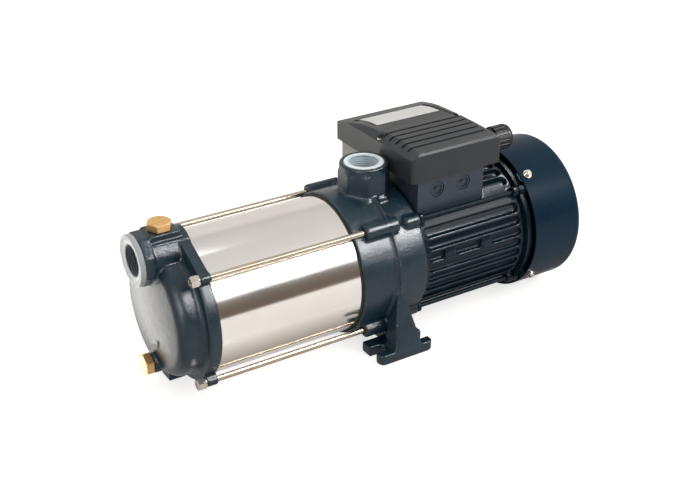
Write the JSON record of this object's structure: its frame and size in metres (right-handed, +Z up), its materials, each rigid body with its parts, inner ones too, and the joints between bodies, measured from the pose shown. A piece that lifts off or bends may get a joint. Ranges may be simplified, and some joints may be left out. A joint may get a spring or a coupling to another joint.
{
  "type": "surface pump",
  "caption": "Horizontal multistage surface pump with stainless sleeve, tie rods, cast bracket with foot, finned motor, fan cover and terminal box.",
  "frame": {"origin": "On the floor plane under the foot, on the discharge port axis, midway between the two feet.", "axes": "+X along the shaft from the suction cover toward the fan, +Y away from the viewer's side, +Z up."},
  "size_m": [0.486, 0.1866, 0.202],
  "materials": {
    "cast_iron_enamel": "glossy navy enamel on grainy sand-cast iron",
    "motor_enamel": "dark navy satin enamel on die-cast aluminium",
    "seat_enamel": "grey-blue satin enamel on a flat cast seat",
    "sheet_enamel": "smooth gloss navy enamel on pressed sheet steel",
    "stainless_polished": "polished stainless sleeve with fine turning lines",
    "zinc_steel": "bright zinc-plated steel",
    "port_white_metal": "machined light metal thread ring",
    "stage_steel": "pressed stainless stage",
    "bearing_steel": "ground bearing steel",
    "lamination_steel": "stacked electrical steel",
    "cast_aluminium": "cast aluminium end ring",
    "copper_wire": "varnished copper winding",
    "seal_rubber": "dark olive rubber",
    "seal_ceramic": "ceramic seal face",
    "seal_carbon": "carbon and rubber seal head",
    "charcoal_plastic": "satin charcoal moulded plastic",
    "grey_plastic": "satin light grey moulded plastic",
    "capacitor_plastic": "white capacitor can",
    "block_plastic": "cream terminal block",
    "gland_plastic": "black nylon",
    "plug_plastic": "dark blue-grey knock-out plug",
    "fan_plastic": "black moulded fan",
    "plug_brass": "turned brass",
    "fibre_washer": "brown fibre washer"
  },
  "bodies": {
    "casing": {"suction_cover": "cast_iron_enamel", "sleeve": "stainless_polished", "front_seal_ring": "seal_rubber", "rear_seal_ring": "seal_rubber", "tie_rods": "zinc_steel", "tie_rod_nuts": "zinc_steel", "tie_rod_washers": "zinc_steel", "bracket": "cast_iron_enamel", "suction_ring": "port_white_metal", "discharge_ring": "port_white_metal", "diffuser_1": "stage_steel", "diffuser_2": "stage_steel", "diffuser_3": "stage_steel", "diffuser_4": "stage_steel", "seal_seat": "seal_ceramic", "front_bearing_outer": "bearing_steel", "rear_bearing_outer": "bearing_steel", "motor_frame": "motor_enamel", "terminal_seat": "seat_enamel", "stator_core": "lamination_steel", "winding_ends": "copper_wire", "end_shield": "motor_enamel", "motor_through_bolts": "motor_enamel", "fan_cover": "sheet_enamel", "fan_cover_screws": "zinc_steel", "terminal_base": "grey_plastic", "terminal_lid": "charcoal_plastic", "terminal_lid_screws": "zinc_steel", "capacitor": "capacitor_plastic", "terminal_block": "block_plastic", "gland_body": "gland_plastic", "gland_nut": "gland_plastic", "gland_seal": "seal_rubber", "blanking_plugs": "plug_plastic"},
    "rotor": {"shaft": "bearing_steel", "impeller_1": "stage_steel", "impeller_2": "stage_steel", "impeller_3": "stage_steel", "impeller_4": "stage_steel", "stage_spacers": "stage_steel", "impeller_nut": "zinc_steel", "seal_head": "seal_carbon", "rotor_core": "lamination_steel", "rotor_end_rings": "cast_aluminium", "front_bearing_inner": "bearing_steel", "rear_bearing_inner": "bearing_steel", "fan": "fan_plastic", "fan_circlip": "zinc_steel", "slinger": "seal_rubber"},
    "front_ball_cage": {"front_balls": "bearing_steel"},
    "rear_ball_cage": {"rear_balls": "bearing_steel"},
    "filler": {"filler_plug": "plug_brass", "filler_washer": "fibre_washer"},
    "drain": {"drain_plug": "plug_brass", "drain_washer": "fibre_washer"}
  },
  "joints": [
    {"name": "rotor_spin", "type": "hinge", "parent": "casing", "child": "rotor", "pos_m": [0, 0, 0.08], "axis": [1, 0, 0], "continuous": true},
    {"name": "front_ball_spin", "type": "hinge", "parent": "casing", "child": "front_ball_cage", "pos_m": [0.026, 0, 0.08], "axis": [1, 0, 0], "continuous": true},
    {"name": "rear_ball_spin", "type": "hinge", "parent": "casing", "child": "rear_ball_cage", "pos_m": [0.1635, 0, 0.08], "axis": [1, 0, 0], "continuous": true},
    {"name": "filler_unscrew", "type": "slide", "parent": "casing", "child": "filler", "axis": [0, 0, 1], "range_m": [0, 0.03]},
    {"name": "drain_unscrew", "type": "slide", "parent": "casing", "child": "drain", "axis": [-1, 0, 0], "range_m": [0, 0.03]}
  ],
  "couplings": [
    {"joint": "front_ball_spin", "follows": "rotor_spin", "ratio": 0.383},
    {"joint": "rear_ball_spin", "follows": "rotor_spin", "ratio": 0.383}
  ]
}
